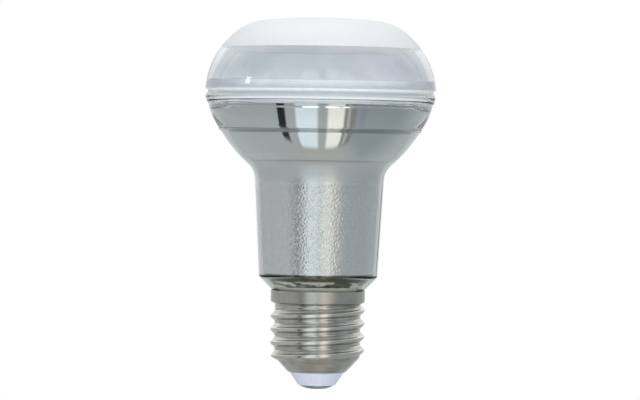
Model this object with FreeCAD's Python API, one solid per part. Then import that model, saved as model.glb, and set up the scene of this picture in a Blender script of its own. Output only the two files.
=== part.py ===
import FreeCAD, Part
import math
import os
from FreeCAD import Vector

# Reflector bulb: a silvered glass body with a clear-banded, frosted front cover, on an Edison screw cap.
# All sizes are in millimetres. The origin is the tip of the centre contact, and +Z is the lamp's axis,
# up through the neck to the crown of the cover. An outline is a list of corners in the half plane of
# radius and height, each corner with the radius of the tangent arc that rounds it.

# Centre contact and insulator
contact_radius = 4.5
contact_flat_radius = 2.8
contact_height = 0.95
contact_rim = 0.25
contact_rounding = 1.5
eyelet_radius = 1.0
eyelet_bore_radius = 0.45
eyelet_flare = 0.6
eyelet_flare_height = 0.4
eyelet_clearance = 0.1
insulator_foot_radius = 5.1
insulator_height = 3.65
insulator_depth = 2.5
insulator_rounding = 0.4
insulator_clearance = 0.05

# Screw shell, rolled from thin sheet
sheet = 0.3
cone_foot_radius = 8.0
cone_height = 4.0
cone_rounding = 1.2
thread_root_radius = 11.7
thread_depth = 1.2
thread_pitch = 3.629
thread_turns = 4
collar_stand_in = 0.05
collar_height = 3.6
collar_step_height = 0.55
collar_rounding = 0.5

# Glass body: tail inside the cap, chamfer, neck, bowl, band and flange
glass_wall = 1.2
tail_length = 13.2
tail_rounding = 1.5
chamfer_angle = 44.6
cap_clearance = 0.12
neck_foot_radius = 16.15
neck_foot_rounding = 0.8
neck_flare = 1.6
neck_length = 29.0
neck_fillet = 5.5
belly_inset = 3.15
belly_rise = 5.4
belly_rounding = 40.0
bowl_height = 10.45
bead_stand = 0.22
bead_width = 0.85
bead_rounding = 0.15
band_step = 0.6
band_flare = 3.0
band_belly_reach = 2.1
band_belly_rise = 3.1
band_rounding = 19.0
band_top_radius = 30.65
band_height = 6.8
flange_step = 0.3
flange_stand = 0.75
flange_height = 3.0
flange_edge_height = 1.1
flange_edge_drop = 0.55
flange_edge_rounding = 0.6
flange_wall = 2.0
mouth_depth = 1.9
ledge_width = 0.9
rim_rounding = 0.3

# Front cover and the bead that seals it
seam_gap = 0.7
cover_overhang = 0.15
cover_wall = 1.5
cover_side_radius = 22.5
cover_side_drop = 1.7
cover_shoulder_radius = 15.0
cover_shoulder_angle = 50.0
cover_crown_radius = 170.0
cover_foot_height = 1.2
cover_edge_rounding = 0.25
cover_foot_rounding = 0.7
spigot_wall = 1.2
spigot_clearance = 0.1
sealant_stand_in = 0.2
sealant_bulge = 0.15
sealant_clearance = 0.05

# Cement between the tail and the shell
cement_thickness = 0.8
cement_clearance = 0.05
cement_end_inset = 0.7

# Driver sleeve, a stepped plastic tube that stands on the glass cone
sleeve_wall = 1.0
sleeve_clearance = 0.1
sleeve_gap = 1.75
sleeve_foot_inset = 1.0
rib_depth = 1.6
rib_thickness = 1.0
boss_radius = 2.2
boss_length = 7.0
boss_overlap = 0.4

# Heat spreader, a pressed aluminium plate with a skirt round the sleeve
spreader_drop = 3.0
spreader_clearance = 0.45
spreader_thickness = 1.5
skirt_wall = 1.2
skirt_length = 12.0
skirt_clearance = 0.2
spreader_bore_radius = 3.6

# Board of light-emitting packages
led_board_inset = 1.6
led_board_thickness = 1.0
led_count = 8
led_edge_inset = 0.6
led_length = 3.5
led_width = 2.8
led_height = 0.7
led_window_inset = 0.4
led_window_depth = 0.15

# Screws that hold the board and the spreader to the sleeve
screw_radius = 1.0
screw_length = 7.5
screw_head_radius = 1.8
screw_head_height = 1.2
screw_head_rounding = 0.5
screw_recess_depth = 0.6
screw_recess_length = 2.2
screw_recess_width = 0.5
screw_clearance = 0.1

# Driver board, upright in the sleeve, and the parts soldered to it
board_thickness = 1.0
board_front_y = -1.5
board_clearance = 0.12
board_foot_inset = 1.0
board_top_inset = 6.5
leg_radius = 0.3
leg_clearance = 0.1
leg_tail = 0.6
leg_bend = 0.6
leg_reach = 1.4
seat_gap = 0.1
can_radius = 4.0
can_length = 12.0
can_rounding = 0.6
can_groove_depth = 0.35
can_groove_height = 1.6
can_edge_inset = 1.4
can_foot_rise = 4.0
can_leg_spacing = 3.5
drum_radius = 3.4
drum_waist_radius = 2.9
drum_height = 5.5
drum_flange = 1.0
drum_edge_inset = 1.5
drum_rise = 12.0
drum_leg_spacing = 4.0
film_width = 6.5
film_depth = 4.5
film_height = 4.6
film_rounding = 0.5
film_edge_inset = 1.5
film_rise = 2.2
film_leg_spacing = 5.0
fuse_radius = 1.3
fuse_length = 6.5
fuse_rounding = 0.4
fuse_edge_inset = 4.2
fuse_rise = 4.0
chip_width = 3.9
chip_length = 4.9
chip_height = 1.5
chip_lead_count = 4
chip_rise = 10.0
bridge_width = 4.4
bridge_length = 4.7
bridge_height = 1.4
bridge_lead_count = 2
bridge_rise = 7.0
lead_foot = 0.6
lead_reach = 1.1
lead_width = 0.4
lead_thickness = 0.2
pin_width = 0.6
pin_spacing = 3.0
pin_grip = 3.0
pin_stand = 0.8

# Supply leads between the board and the cap
wire_radius = 0.3
wire_bend = 1.2
wire_grip = 3.5
neutral_edge_inset = 3.0
solder_gap = 0.1
live_foot_rise = 0.25

# Heights from the tip of the contact, worked up the lamp
lip_z = contact_height + insulator_height
thread_foot_z = lip_z + cone_height
thread_top_z = thread_foot_z + thread_turns * thread_pitch
cap_top_z = thread_top_z + collar_height
tail_foot_z = cap_top_z - tail_length
thread_crest_radius = thread_root_radius + thread_depth
collar_radius = thread_crest_radius - collar_stand_in
cap_bore_radius = collar_radius - sheet
tail_radius = thread_root_radius - sheet - cement_thickness - 2 * cement_clearance
chamfer_slope = math.tan(math.radians(chamfer_angle))


def chamfer_z(radius, inset):
    """Height at a radius of the glass chamfer's cone, moved in from its outer face by the inset."""
    rise = (radius - cap_bore_radius + cap_clearance) / chamfer_slope
    return cap_top_z + rise + inset / math.sin(math.radians(chamfer_angle))


neck_foot_z = chamfer_z(neck_foot_radius, 0)
neck_top_z = neck_foot_z + neck_length
neck_top_radius = neck_foot_radius + neck_flare
belly_z = neck_top_z + belly_rise
bowl_top_z = neck_top_z + bowl_height
band_foot_z = bowl_top_z + bead_width
flange_foot_z = band_foot_z + band_height
flange_top_z = flange_foot_z + flange_height
ledge_z = flange_top_z - mouth_depth
band_foot_radius = band_top_radius - band_flare
bowl_top_radius = band_foot_radius - band_step
belly_radius = bowl_top_radius - belly_inset
flange_radius = band_top_radius + flange_stand
flange_edge_radius = flange_radius - flange_edge_drop
mouth_radius = flange_radius - flange_wall
rim_bore_radius = mouth_radius - ledge_width
cover_radius = flange_radius + cover_overhang
cover_lip_z = flange_top_z + seam_gap

# Outline, turning and wire helpers


def point(corner):
    """A corner's place in the half plane of radius and height."""
    return Vector(corner[0], 0, corner[1])


def rounded_loop(corners):
    """Closed wire through the corners, each rounded by a tangent arc no larger than its sides allow."""
    count = len(corners)
    reaches = []
    for i in range(count):
        into = (point(corners[i]) - point(corners[i - 1])).normalize()
        out = (point(corners[(i + 1) % count]) - point(corners[i])).normalize()
        turn = into.getAngle(out)
        reaches.append(corners[i][2] * math.tan(turn / 2))
    for i in range(count):
        side = (point(corners[(i + 1) % count]) - point(corners[i])).Length
        wanted = reaches[i] + reaches[(i + 1) % count]
        if wanted > side:
            reaches[i] *= side / wanted
            reaches[(i + 1) % count] *= side / wanted
    edges = []
    last = None
    for i in range(count + 1):
        here = point(corners[i % count])
        back = (point(corners[i % count - 1]) - here).normalize()
        ahead = (point(corners[(i + 1) % count]) - here).normalize()
        reach = reaches[i % count]
        start = here + back * reach
        end = here + ahead * reach
        if last is not None and last.distanceToPoint(start) > 1e-6:
            edges.append(Part.makeLine(last, start))
        if reach > 1e-6 and i < count:
            half = back.getAngle(ahead) / 2
            middle = (back + ahead).normalize() * (reach / math.cos(half) - reach * math.tan(half))
            edges.append(Part.Arc(start, here + middle, end).toShape())
        last = end
    return Part.Wire(Part.__sortEdges__(edges))


def inward(corners, wall):
    """The same open outline one wall nearer the axis, for an outline that runs upward."""
    moved = []
    for i, (radius, height, rounding) in enumerate(corners):
        sides = []
        for a, b in ((i - 1, i), (i, i + 1)):
            if a >= 0 and b < len(corners):
                along = (point(corners[b]) - point(corners[a])).normalize()
                sides.append((along, Vector(-along.z, 0, along.x)))
        normals = sides[0][1] + sides[-1][1]
        shift = normals * (2 * wall / normals.dot(normals))
        turns_in = sides[0][0].x * sides[-1][0].z - sides[0][0].z * sides[-1][0].x > 0
        if rounding:
            rounding = max(rounding - wall, 0) if turns_in else rounding + wall
        moved.append((radius + shift.x, height + shift.z, rounding))
    return moved


def turned(corners):
    """Solid of revolution about the lamp's axis, from a closed outline of rounded corners."""
    return spun(rounded_loop(corners))


def spun(loop):
    """Solid of revolution about the lamp's axis, from a closed wire."""
    solid = Part.Face(loop).revolve(Vector(0, 0, 0), Vector(0, 0, 1), 360)
    return solid if solid.Volume > 0 else solid.reversed()


def block(x0, x1, y0, y1, z0, z1):
    """Upright box between two corners."""
    return Part.makeBox(x1 - x0, y1 - y0, z1 - z0, Vector(x0, y0, z0))


def rod(radius, start, end):
    """Round bar between two points."""
    along = end - start
    return Part.makeCylinder(radius, along.Length, start, along)


def bent_wire(points, radius, bend):
    """Round wire along straight runs, joined by tangent arcs of the bend radius."""
    edges = []
    last = points[0]
    for before, here, after in zip(points, points[1:], points[2:]):
        back = (before - here).normalize()
        ahead = (after - here).normalize()
        half = back.getAngle(ahead) / 2
        reach = bend / math.tan(half)
        middle = (back + ahead).normalize() * (bend / math.sin(half) - bend)
        edges.append(Part.makeLine(last, here + back * reach))
        edges.append(Part.Arc(here + back * reach, here + middle, here + ahead * reach).toShape())
        last = here + ahead * reach
    edges.append(Part.makeLine(last, points[-1]))
    circle = Part.Wire(Part.makeCircle(radius, points[0], points[1] - points[0]))
    return Part.Wire(edges).makePipeShell([circle], True, False)


# Cap: contact, insulator, screw shell and cement


def centre_contact():
    """Domed disc with a riveted eyelet that takes the live lead."""
    eyelet_top = lip_z + insulator_depth + eyelet_flare_height
    return turned([
        (0, 0, 0),
        (contact_flat_radius, 0, contact_rounding),
        (contact_radius, contact_height - contact_rim, 0),
        (contact_radius, contact_height, 0),
        (eyelet_radius, contact_height, 0),
        (eyelet_radius, eyelet_top - eyelet_flare_height, 0),
        (eyelet_radius + eyelet_flare, eyelet_top - eyelet_flare_height, 0),
        (eyelet_radius + eyelet_flare, eyelet_top - eyelet_flare_height / 2, 0),
        (eyelet_radius, eyelet_top, 0),
        (eyelet_bore_radius, eyelet_top, 0),
        (eyelet_bore_radius, contact_height, 0),
        (0, contact_height, 0),
    ])


def shell_outline():
    """Outer corners of the screw shell: cone, knuckle thread of tangent arcs, and collar."""
    half_pitch = thread_pitch / 2
    flank = 2 * math.atan(thread_depth / half_pitch)
    knuckle = half_pitch / 2 / math.sin(flank)
    apex = knuckle / math.cos(flank) - knuckle
    flank_run = half_pitch * (thread_depth + apex) / (thread_depth + 2 * apex)
    corners = [
        (cone_foot_radius, lip_z, 0),
        (thread_root_radius, thread_foot_z, cone_rounding),
        (thread_root_radius, thread_foot_z + half_pitch - flank_run, collar_rounding),
    ]
    for turn in range(thread_turns):
        crest_z = thread_foot_z + (turn + 0.5) * thread_pitch
        corners.append((thread_crest_radius + apex, crest_z, knuckle))
        corners.append((thread_root_radius - apex, crest_z + half_pitch, knuckle))
    corners[-1] = (thread_root_radius, thread_top_z - half_pitch + flank_run, collar_rounding)
    corners.append((thread_root_radius, thread_top_z, collar_rounding))
    corners.append((collar_radius, thread_top_z + collar_step_height, collar_rounding))
    corners.append((collar_radius, cap_top_z, 0))
    return corners


def screw_shell():
    """Nickelled brass shell, one sheet thick all over."""
    outer = shell_outline()
    return turned(outer + inward(outer, sheet)[::-1])


def cone_inner_radius(height):
    """Radius of the shell cone's inner face, less the insulator's clearance."""
    foot, head = shell_outline()[:2]
    slope = (head[0] - foot[0]) / (head[1] - foot[1])
    inset = (sheet + insulator_clearance) * math.sqrt(1 + slope * slope)
    return foot[0] + (height - foot[1]) * slope - inset


def insulator():
    """Fused glass or ceramic cone between the contact and the shell."""
    top_z = lip_z + insulator_depth
    bore = eyelet_radius + eyelet_clearance
    return turned([
        (bore, contact_height, 0),
        (insulator_foot_radius, contact_height, insulator_rounding),
        (cone_inner_radius(lip_z), lip_z, 0),
        (cone_inner_radius(top_z), top_z, 0),
        (bore, top_z, 0),
    ])


def cap_cement():
    """Ring of cement that bonds the glass tail into the shell."""
    inner = tail_radius + cement_clearance
    outer = thread_root_radius - sheet - cement_clearance
    foot_z = tail_foot_z + cement_end_inset
    top_z = chamfer_z(tail_radius, 0) - cement_end_inset
    return turned([(inner, foot_z, 0), (outer, foot_z, 0), (outer, top_z, 0), (inner, top_z, 0)])


# Glass: reflector body, cover and sealing bead


def reflector_body():
    """Pressed glass reflector, silvered inside, with a stepped bowl and a ledge for the cover."""
    main = [
        (tail_radius, tail_foot_z, 0),
        (tail_radius, chamfer_z(tail_radius, 0), tail_rounding),
        (neck_foot_radius, neck_foot_z, neck_foot_rounding),
        (neck_top_radius, neck_top_z, neck_fillet),
        (belly_radius, belly_z, belly_rounding),
        (bowl_top_radius, bowl_top_z, 0),
        (band_top_radius, flange_foot_z, 0),
    ]
    rim = [
        (bowl_top_radius + bead_stand, bowl_top_z, bead_rounding),
        (band_foot_radius + bead_stand, band_foot_z, bead_rounding),
        (band_foot_radius, band_foot_z, 0),
        (band_foot_radius + band_belly_reach, band_foot_z + band_belly_rise, band_rounding),
        (band_top_radius, flange_foot_z, 0),
        (band_top_radius + flange_step, flange_foot_z + flange_step / 2, bead_rounding),
        (flange_radius, flange_top_z - flange_edge_height, flange_edge_rounding),
        (flange_edge_radius, flange_top_z, rim_rounding),
        (mouth_radius, flange_top_z, 0),
        (mouth_radius, ledge_z, 0),
        (rim_bore_radius, ledge_z, rim_rounding),
    ]
    inside = inward(main, glass_wall)[:-1]
    return turned(main[:-1] + rim + inside[::-1])


def cover_arcs(inset, foot_height):
    """Side, shoulder and crown arcs of the cover, each tangent to the next, moved in by the inset."""
    side_x = cover_radius - cover_side_radius
    side_z = cover_lip_z - cover_side_drop
    foot = math.asin((cover_side_drop + foot_height) / (cover_side_radius - inset))
    bend = math.radians(cover_shoulder_angle)
    shoulder_x = side_x + (cover_side_radius - cover_shoulder_radius) * math.cos(bend)
    shoulder_z = side_z + (cover_side_radius - cover_shoulder_radius) * math.sin(bend)
    crown_drop = math.sqrt((cover_crown_radius - cover_shoulder_radius) ** 2 - shoulder_x ** 2)
    meet = math.atan2(crown_drop, shoulder_x)
    side = swing(side_x, side_z, cover_side_radius - inset, foot, bend)
    shoulder = swing(shoulder_x, shoulder_z, cover_shoulder_radius - inset, bend, meet)
    crown = swing(0, shoulder_z - crown_drop, cover_crown_radius - inset, meet, math.pi / 2)
    return [side, shoulder, crown]


def swing(centre_radius, centre_z, radius, start, end):
    """Arc edge about a centre in the half plane, from one angle to another."""
    places = []
    for angle in (start, (start + end) / 2, end):
        reach = centre_radius + radius * math.cos(angle)
        places.append(Vector(reach, 0, centre_z + radius * math.sin(angle)))
    return Part.Arc(*places).toShape()


def on_circle(edge, place):
    """Whether a round edge about the lamp's axis runs through the place."""
    box = edge.BoundBox
    return abs(box.XMax - place.x) < 1e-4 and abs(box.ZMin - place.z) < 1e-4 and box.ZLength < 1e-4


def front_cover():
    """Blown dome with a spigot that drops into the body's mouth."""
    outer = cover_arcs(0, 0)
    inner = cover_arcs(cover_wall, cover_foot_height)
    spigot_radius = mouth_radius - spigot_clearance
    lip = outer[0].valueAt(outer[0].FirstParameter)
    places = [
        inner[0].valueAt(inner[0].FirstParameter),
        Vector(spigot_radius - spigot_wall, 0, cover_lip_z),
        Vector(spigot_radius - spigot_wall, 0, ledge_z),
        Vector(spigot_radius, 0, ledge_z),
        Vector(spigot_radius, 0, cover_lip_z),
        lip,
    ]
    edges = [Part.makeLine(a, b) for a, b in zip(places, places[1:])]
    edges.append(Part.makeLine(outer[-1].valueAt(outer[-1].LastParameter),
                               inner[-1].valueAt(inner[-1].LastParameter)))
    cover = spun(Part.Wire(Part.__sortEdges__(edges + outer + inner)))
    lip_edge = [edge for edge in cover.Edges if edge.Closed and on_circle(edge, lip)]
    cover = cover.makeFillet(cover_edge_rounding, lip_edge)
    foot_edges = [edge for edge in cover.Edges if edge.Closed and on_circle(edge, places[1])]
    return cover.makeFillet(cover_foot_rounding, foot_edges)


def cover_sealant():
    """Bead of clear sealant in the seam, with a rounded outer face."""
    inner = mouth_radius - spigot_clearance + sealant_clearance
    outer = flange_edge_radius - sealant_stand_in
    middle_z = (flange_top_z + cover_lip_z) / 2
    low = Vector(outer, 0, flange_top_z)
    high = Vector(outer, 0, cover_lip_z)
    edges = [
        Part.makeLine(Vector(inner, 0, flange_top_z), low),
        Part.Arc(low, Vector(outer + sealant_bulge, 0, middle_z), high).toShape(),
        Part.makeLine(high, Vector(inner, 0, cover_lip_z)),
        Part.makeLine(Vector(inner, 0, cover_lip_z), Vector(inner, 0, flange_top_z)),
    ]
    return spun(Part.Wire(edges))


# Carrier: driver sleeve, heat spreader, board of packages and screws

sleeve_foot_z = tail_foot_z + sleeve_foot_inset
sleeve_inset = glass_wall + sleeve_clearance
sleeve_foot_radius = tail_radius - sleeve_inset
sleeve_radius = neck_foot_radius - glass_wall - sleeve_gap
sleeve_step_z = chamfer_z(sleeve_radius, sleeve_inset)
sleeve_top_z = neck_top_z - spreader_drop
sleeve_bore_radius = sleeve_radius - sleeve_wall
sleeve_foot_bore_radius = sleeve_foot_radius - sleeve_wall
board_back_y = board_front_y - board_thickness
board_foot_z = sleeve_foot_z + board_foot_inset
board_top_z = sleeve_top_z - board_top_inset
board_tongue = math.sqrt(sleeve_foot_bore_radius ** 2 - board_back_y ** 2) - board_clearance
board_half = math.sqrt(sleeve_bore_radius ** 2 - board_back_y ** 2) - board_clearance
board_corner = math.hypot(board_half, board_back_y)
board_shoulder_z = chamfer_z(board_corner, sleeve_inset + sleeve_wall) + board_clearance
screw_circle_radius = sleeve_bore_radius - boss_radius + boss_overlap
spreader_radius = neck_top_radius - glass_wall - spreader_clearance
spreader_top_z = sleeve_top_z + spreader_thickness
led_board_radius = spreader_radius - led_board_inset
led_circle_radius = led_board_radius - led_edge_inset - led_length / 2
led_board_top_z = spreader_top_z + led_board_thickness
pin_y = board_front_y + pin_width / 2


def screw_places():
    """Axis of each board screw, at a given height."""
    return [Vector(0, side * screw_circle_radius, 0) for side in (-1, 1)]


def pin_places():
    """Axis of each output pin, on the front of the driver board."""
    return [Vector(side * pin_spacing / 2, pin_y, 0) for side in (-1, 1)]


def drilled(solid, places, radius, z0, z1):
    """The solid with an upright round hole at each place."""
    for place in places:
        solid = solid.cut(rod(radius, place + Vector(0, 0, z0), place + Vector(0, 0, z1)))
    return solid


def driver_sleeve():
    """Moulded sleeve on the glass cone, with grooves for the board and two screw bosses."""
    outer = [
        (sleeve_foot_radius, sleeve_foot_z, 0),
        (sleeve_foot_radius, chamfer_z(sleeve_foot_radius, sleeve_inset), 0),
        (sleeve_radius, sleeve_step_z, 0),
        (sleeve_radius, sleeve_top_z, 0),
    ]
    solid = turned(outer + inward(outer, sleeve_wall)[::-1])
    groove_half = board_thickness / 2 + board_clearance
    middle_y = (board_front_y + board_back_y) / 2
    for side in (-1, 1):
        near = side * (sleeve_bore_radius - rib_depth)
        far = side * (sleeve_bore_radius + sleeve_wall / 4)
        for lower_y in (middle_y + groove_half, middle_y - groove_half - rib_thickness):
            rib = block(min(near, far), max(near, far), lower_y, lower_y + rib_thickness,
                        board_shoulder_z, board_top_z)
            solid = solid.fuse(rib)
    for place in screw_places():
        foot = place + Vector(0, 0, sleeve_top_z - boss_length)
        head = place + Vector(0, 0, sleeve_top_z)
        bore = rod(screw_radius + screw_clearance / 2, foot, head)
        solid = solid.fuse(rod(boss_radius, foot, head)).cut(bore)
    return solid.removeSplitter()


def heat_spreader():
    """Pressed plate on the sleeve's end, with a skirt down its outside."""
    skirt_bore = sleeve_radius + skirt_clearance
    skirt_radius = skirt_bore + skirt_wall
    skirt_foot_z = sleeve_top_z - skirt_length
    solid = turned([
        (spreader_bore_radius, sleeve_top_z, 0),
        (skirt_bore, sleeve_top_z, 0),
        (skirt_bore, skirt_foot_z, 0),
        (skirt_radius, skirt_foot_z, 0),
        (skirt_radius, sleeve_top_z, 0),
        (spreader_radius, sleeve_top_z, 0),
        (spreader_radius, spreader_top_z, 0),
        (spreader_bore_radius, spreader_top_z, 0),
    ])
    return drilled(solid, screw_places(), screw_radius + screw_clearance, sleeve_top_z, spreader_top_z)


def led_board():
    """Aluminium-cored disc with holes for the screws and the output pins."""
    foot = Vector(0, 0, spreader_top_z)
    solid = Part.makeCylinder(led_board_radius, led_board_thickness, foot)
    solid = drilled(solid, screw_places(), screw_radius + screw_clearance, spreader_top_z, led_board_top_z)
    pin_hole = pin_width / math.sqrt(2) + leg_clearance
    return drilled(solid, pin_places(), pin_hole, spreader_top_z, led_board_top_z)


def led_packages():
    """Ring of light-emitting packages, each with a recessed window."""
    packages = []
    for i in range(led_count):
        package = block(led_circle_radius - led_length / 2, led_circle_radius + led_length / 2,
                        -led_width / 2, led_width / 2, led_board_top_z, led_board_top_z + led_height)
        window = block(led_circle_radius - led_length / 2 + led_window_inset,
                       led_circle_radius + led_length / 2 - led_window_inset,
                       led_window_inset - led_width / 2, led_width / 2 - led_window_inset,
                       led_board_top_z + led_height - led_window_depth, led_board_top_z + led_height)
        package = package.cut(window)
        package.rotate(Vector(0, 0, 0), Vector(0, 0, 1), 360 * (i + 0.5) / led_count)
        packages.append(package)
    return Part.Compound(packages)


def board_screws():
    """Two pan-head screws with crossed recesses."""
    screws = []
    for place in screw_places():
        screw = turned([
            (0, led_board_top_z - screw_length, 0),
            (screw_radius, led_board_top_z - screw_length, 0),
            (screw_radius, led_board_top_z, 0),
            (screw_head_radius, led_board_top_z, 0),
            (screw_head_radius, led_board_top_z + screw_head_height, screw_head_rounding),
            (0, led_board_top_z + screw_head_height, 0),
        ])
        for half_x, half_y in ((screw_recess_length / 2, screw_recess_width / 2),
                               (screw_recess_width / 2, screw_recess_length / 2)):
            top_z = led_board_top_z + screw_head_height
            screw = screw.cut(block(-half_x, half_x, -half_y, half_y, top_z - screw_recess_depth, top_z))
        screw.translate(place)
        screws.append(screw)
    return Part.Compound(screws)


# Driver: upright board and the parts soldered to it

can_x = can_edge_inset + can_radius - board_half
drum_x = board_half - drum_edge_inset - drum_radius
film_x = board_half - film_edge_inset - film_width / 2
fuse_x = fuse_edge_inset - board_tongue
film_foot_z = board_shoulder_z + film_rise
can_foot_z = board_shoulder_z + can_foot_rise
can_y = board_front_y + seat_gap + can_radius
drum_z = board_shoulder_z + drum_rise
fuse_foot_z = board_foot_z + fuse_rise
fuse_y = board_front_y + seat_gap + fuse_radius
leg_end_y = board_back_y - leg_tail


def leg_holes():
    """Place across and up the board of each hole that a leg goes through."""
    can_leg_z = can_foot_z - leg_reach
    fuse_low_z = fuse_foot_z - leg_reach
    fuse_high_z = fuse_foot_z + fuse_length + leg_reach
    holes = {"fuse": [(fuse_x, fuse_low_z), (fuse_x, fuse_high_z)]}
    holes["can"] = [(can_x + side * can_leg_spacing / 2, can_leg_z) for side in (-1, 1)]
    holes["drum"] = [(drum_x + side * drum_leg_spacing / 2, drum_z) for side in (-1, 1)]
    film_leg_z = film_foot_z + film_height / 2
    holes["film"] = [(film_x + side * film_leg_spacing / 2, film_leg_z) for side in (-1, 1)]
    return holes


def driver_board():
    """Board with a narrow tongue down the tail, drilled for the legs."""
    corners = [
        (-board_tongue, board_foot_z), (board_tongue, board_foot_z),
        (board_tongue, board_shoulder_z), (board_half, board_shoulder_z),
        (board_half, board_top_z), (-board_half, board_top_z),
        (-board_half, board_shoulder_z), (-board_tongue, board_shoulder_z),
    ]
    places = [Vector(x, board_back_y, z) for x, z in corners]
    solid = Part.Face(Part.makePolygon(places + places[:1])).extrude(Vector(0, board_thickness, 0))
    for places in leg_holes().values():
        for x, z in places:
            hole = rod(leg_radius + leg_clearance, Vector(x, board_back_y, z), Vector(x, board_front_y, z))
            solid = solid.cut(hole)
    return solid


def stood_on_board(corners, x, z):
    """Turned shape with its axis across the board, its foot on the board's front."""
    solid = turned(corners)
    solid.rotate(Vector(0, 0, 0), Vector(1, 0, 0), -90)
    solid.translate(Vector(x, board_front_y + seat_gap, z))
    return solid


def electrolytic_capacitor():
    """Aluminium can lying up the board, with a crimped groove and two legs."""
    groove_z = can_groove_height
    can = turned([
        (0, 0, 0),
        (can_radius, 0, can_rounding),
        (can_radius, groove_z - can_groove_depth, 0),
        (can_radius - can_groove_depth, groove_z, 0),
        (can_radius, groove_z + can_groove_depth, 0),
        (can_radius, can_length, can_rounding),
        (0, can_length, 0),
    ])
    can.translate(Vector(can_x, can_y, can_foot_z))
    for x, z in leg_holes()["can"]:
        route = [Vector(x, can_y, can_foot_z + leg_radius), Vector(x, can_y, z), Vector(x, leg_end_y, z)]
        can = can.fuse(bent_wire(route, leg_radius, leg_bend))
    return can


def inductor():
    """Wound drum core on two legs."""
    drum = stood_on_board([
        (0, 0, 0),
        (drum_radius, 0, 0),
        (drum_radius, drum_flange, 0),
        (drum_waist_radius, drum_flange, 0),
        (drum_waist_radius, drum_height - drum_flange, 0),
        (drum_radius, drum_height - drum_flange, 0),
        (drum_radius, drum_height, 0),
        (0, drum_height, 0),
    ], drum_x, drum_z)
    for x, z in leg_holes()["drum"]:
        drum = drum.fuse(rod(leg_radius, Vector(x, board_front_y + seat_gap + drum_flange / 2, z),
                             Vector(x, leg_end_y, z)))
    return drum


def film_capacitor():
    """Potted box capacitor on two legs."""
    front_y = board_front_y + seat_gap
    box = block(film_x - film_width / 2, film_x + film_width / 2, front_y, front_y + film_depth,
                film_foot_z, film_foot_z + film_height)
    outer_edges = [edge for edge in box.Edges if edge.BoundBox.YMin > front_y + film_depth / 2]
    box = box.makeFillet(film_rounding, outer_edges)
    for x, z in leg_holes()["film"]:
        box = box.fuse(rod(leg_radius, Vector(x, front_y + film_depth / 4, z), Vector(x, leg_end_y, z)))
    return box


def fuse_resistor():
    """Axial resistor on the tongue, both legs bent back through the board."""
    body = turned([
        (0, 0, 0),
        (fuse_radius, 0, fuse_rounding),
        (fuse_radius, fuse_length, fuse_rounding),
        (0, fuse_length, 0),
    ])
    body.translate(Vector(fuse_x, fuse_y, fuse_foot_z))
    ends = (fuse_foot_z + leg_radius, fuse_foot_z + fuse_length - leg_radius)
    for (x, z), end_z in zip(leg_holes()["fuse"], ends):
        route = [Vector(x, fuse_y, end_z), Vector(x, fuse_y, z), Vector(x, leg_end_y, z)]
        body = body.fuse(bent_wire(route, leg_radius, leg_bend))
    return body


def surface_chip(width, length, height, leads, middle_z):
    """Flat package on the back of the board, with folded leads along both sides."""
    face_y = board_back_y - seat_gap
    solid = block(-width / 2, width / 2, face_y - height, face_y,
                  middle_z - length / 2, middle_z + length / 2)
    lead_y = face_y - height / 2
    fold = width / 2 + lead_reach - lead_foot
    profile = [
        (0, lead_y - lead_thickness), (fold, lead_y - lead_thickness),
        (fold, board_back_y - lead_thickness), (fold + lead_foot, board_back_y - lead_thickness),
        (fold + lead_foot, board_back_y), (fold - lead_thickness, board_back_y),
        (fold - lead_thickness, lead_y), (0, lead_y),
    ]
    for side in (-1, 1):
        for i in range(leads):
            lead_z = middle_z - length / 2 + (i + 0.5) * length / leads - lead_width / 2
            places = [Vector(side * x, y, lead_z) for x, y in profile]
            lead = Part.Face(Part.makePolygon(places + places[:1])).extrude(Vector(0, 0, lead_width))
            solid = solid.fuse(lead)
    return solid.removeSplitter()


def output_pins():
    """Two square pins soldered to the driver board, up through the board of packages."""
    pins = []
    for place in pin_places():
        pins.append(block(place.x - pin_width / 2, place.x + pin_width / 2,
                          place.y - pin_width / 2, place.y + pin_width / 2,
                          board_top_z - pin_grip, led_board_top_z + pin_stand))
    return Part.Compound(pins)


# Supply leads


def live_lead():
    """Wire from the eyelet's bore up to the front of the driver board."""
    wire_y = board_front_y + wire_radius
    bend_z = lip_z + insulator_depth + eyelet_flare_height + 2 * wire_bend
    return bent_wire([
        Vector(0, 0, contact_height + live_foot_rise),
        Vector(0, 0, bend_z),
        Vector(0, wire_y, bend_z + 2 * wire_bend),
        Vector(0, wire_y, board_foot_z + wire_grip),
    ], wire_radius, wire_bend)


def neutral_lead():
    """Wire from the driver board, out under the tail to a root of the shell's thread."""
    wire_y = board_front_y + wire_radius
    wire_x = board_tongue - neutral_edge_inset
    root_z = thread_foot_z + thread_pitch
    end_radius = thread_root_radius - sheet - solder_gap
    end_x = math.sqrt(end_radius ** 2 - (abs(wire_y) + wire_radius) ** 2)
    return bent_wire([
        Vector(wire_x, wire_y, board_foot_z + wire_grip),
        Vector(wire_x, wire_y, root_z),
        Vector(end_x, wire_y, root_z),
    ], wire_radius, wire_bend)


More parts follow.
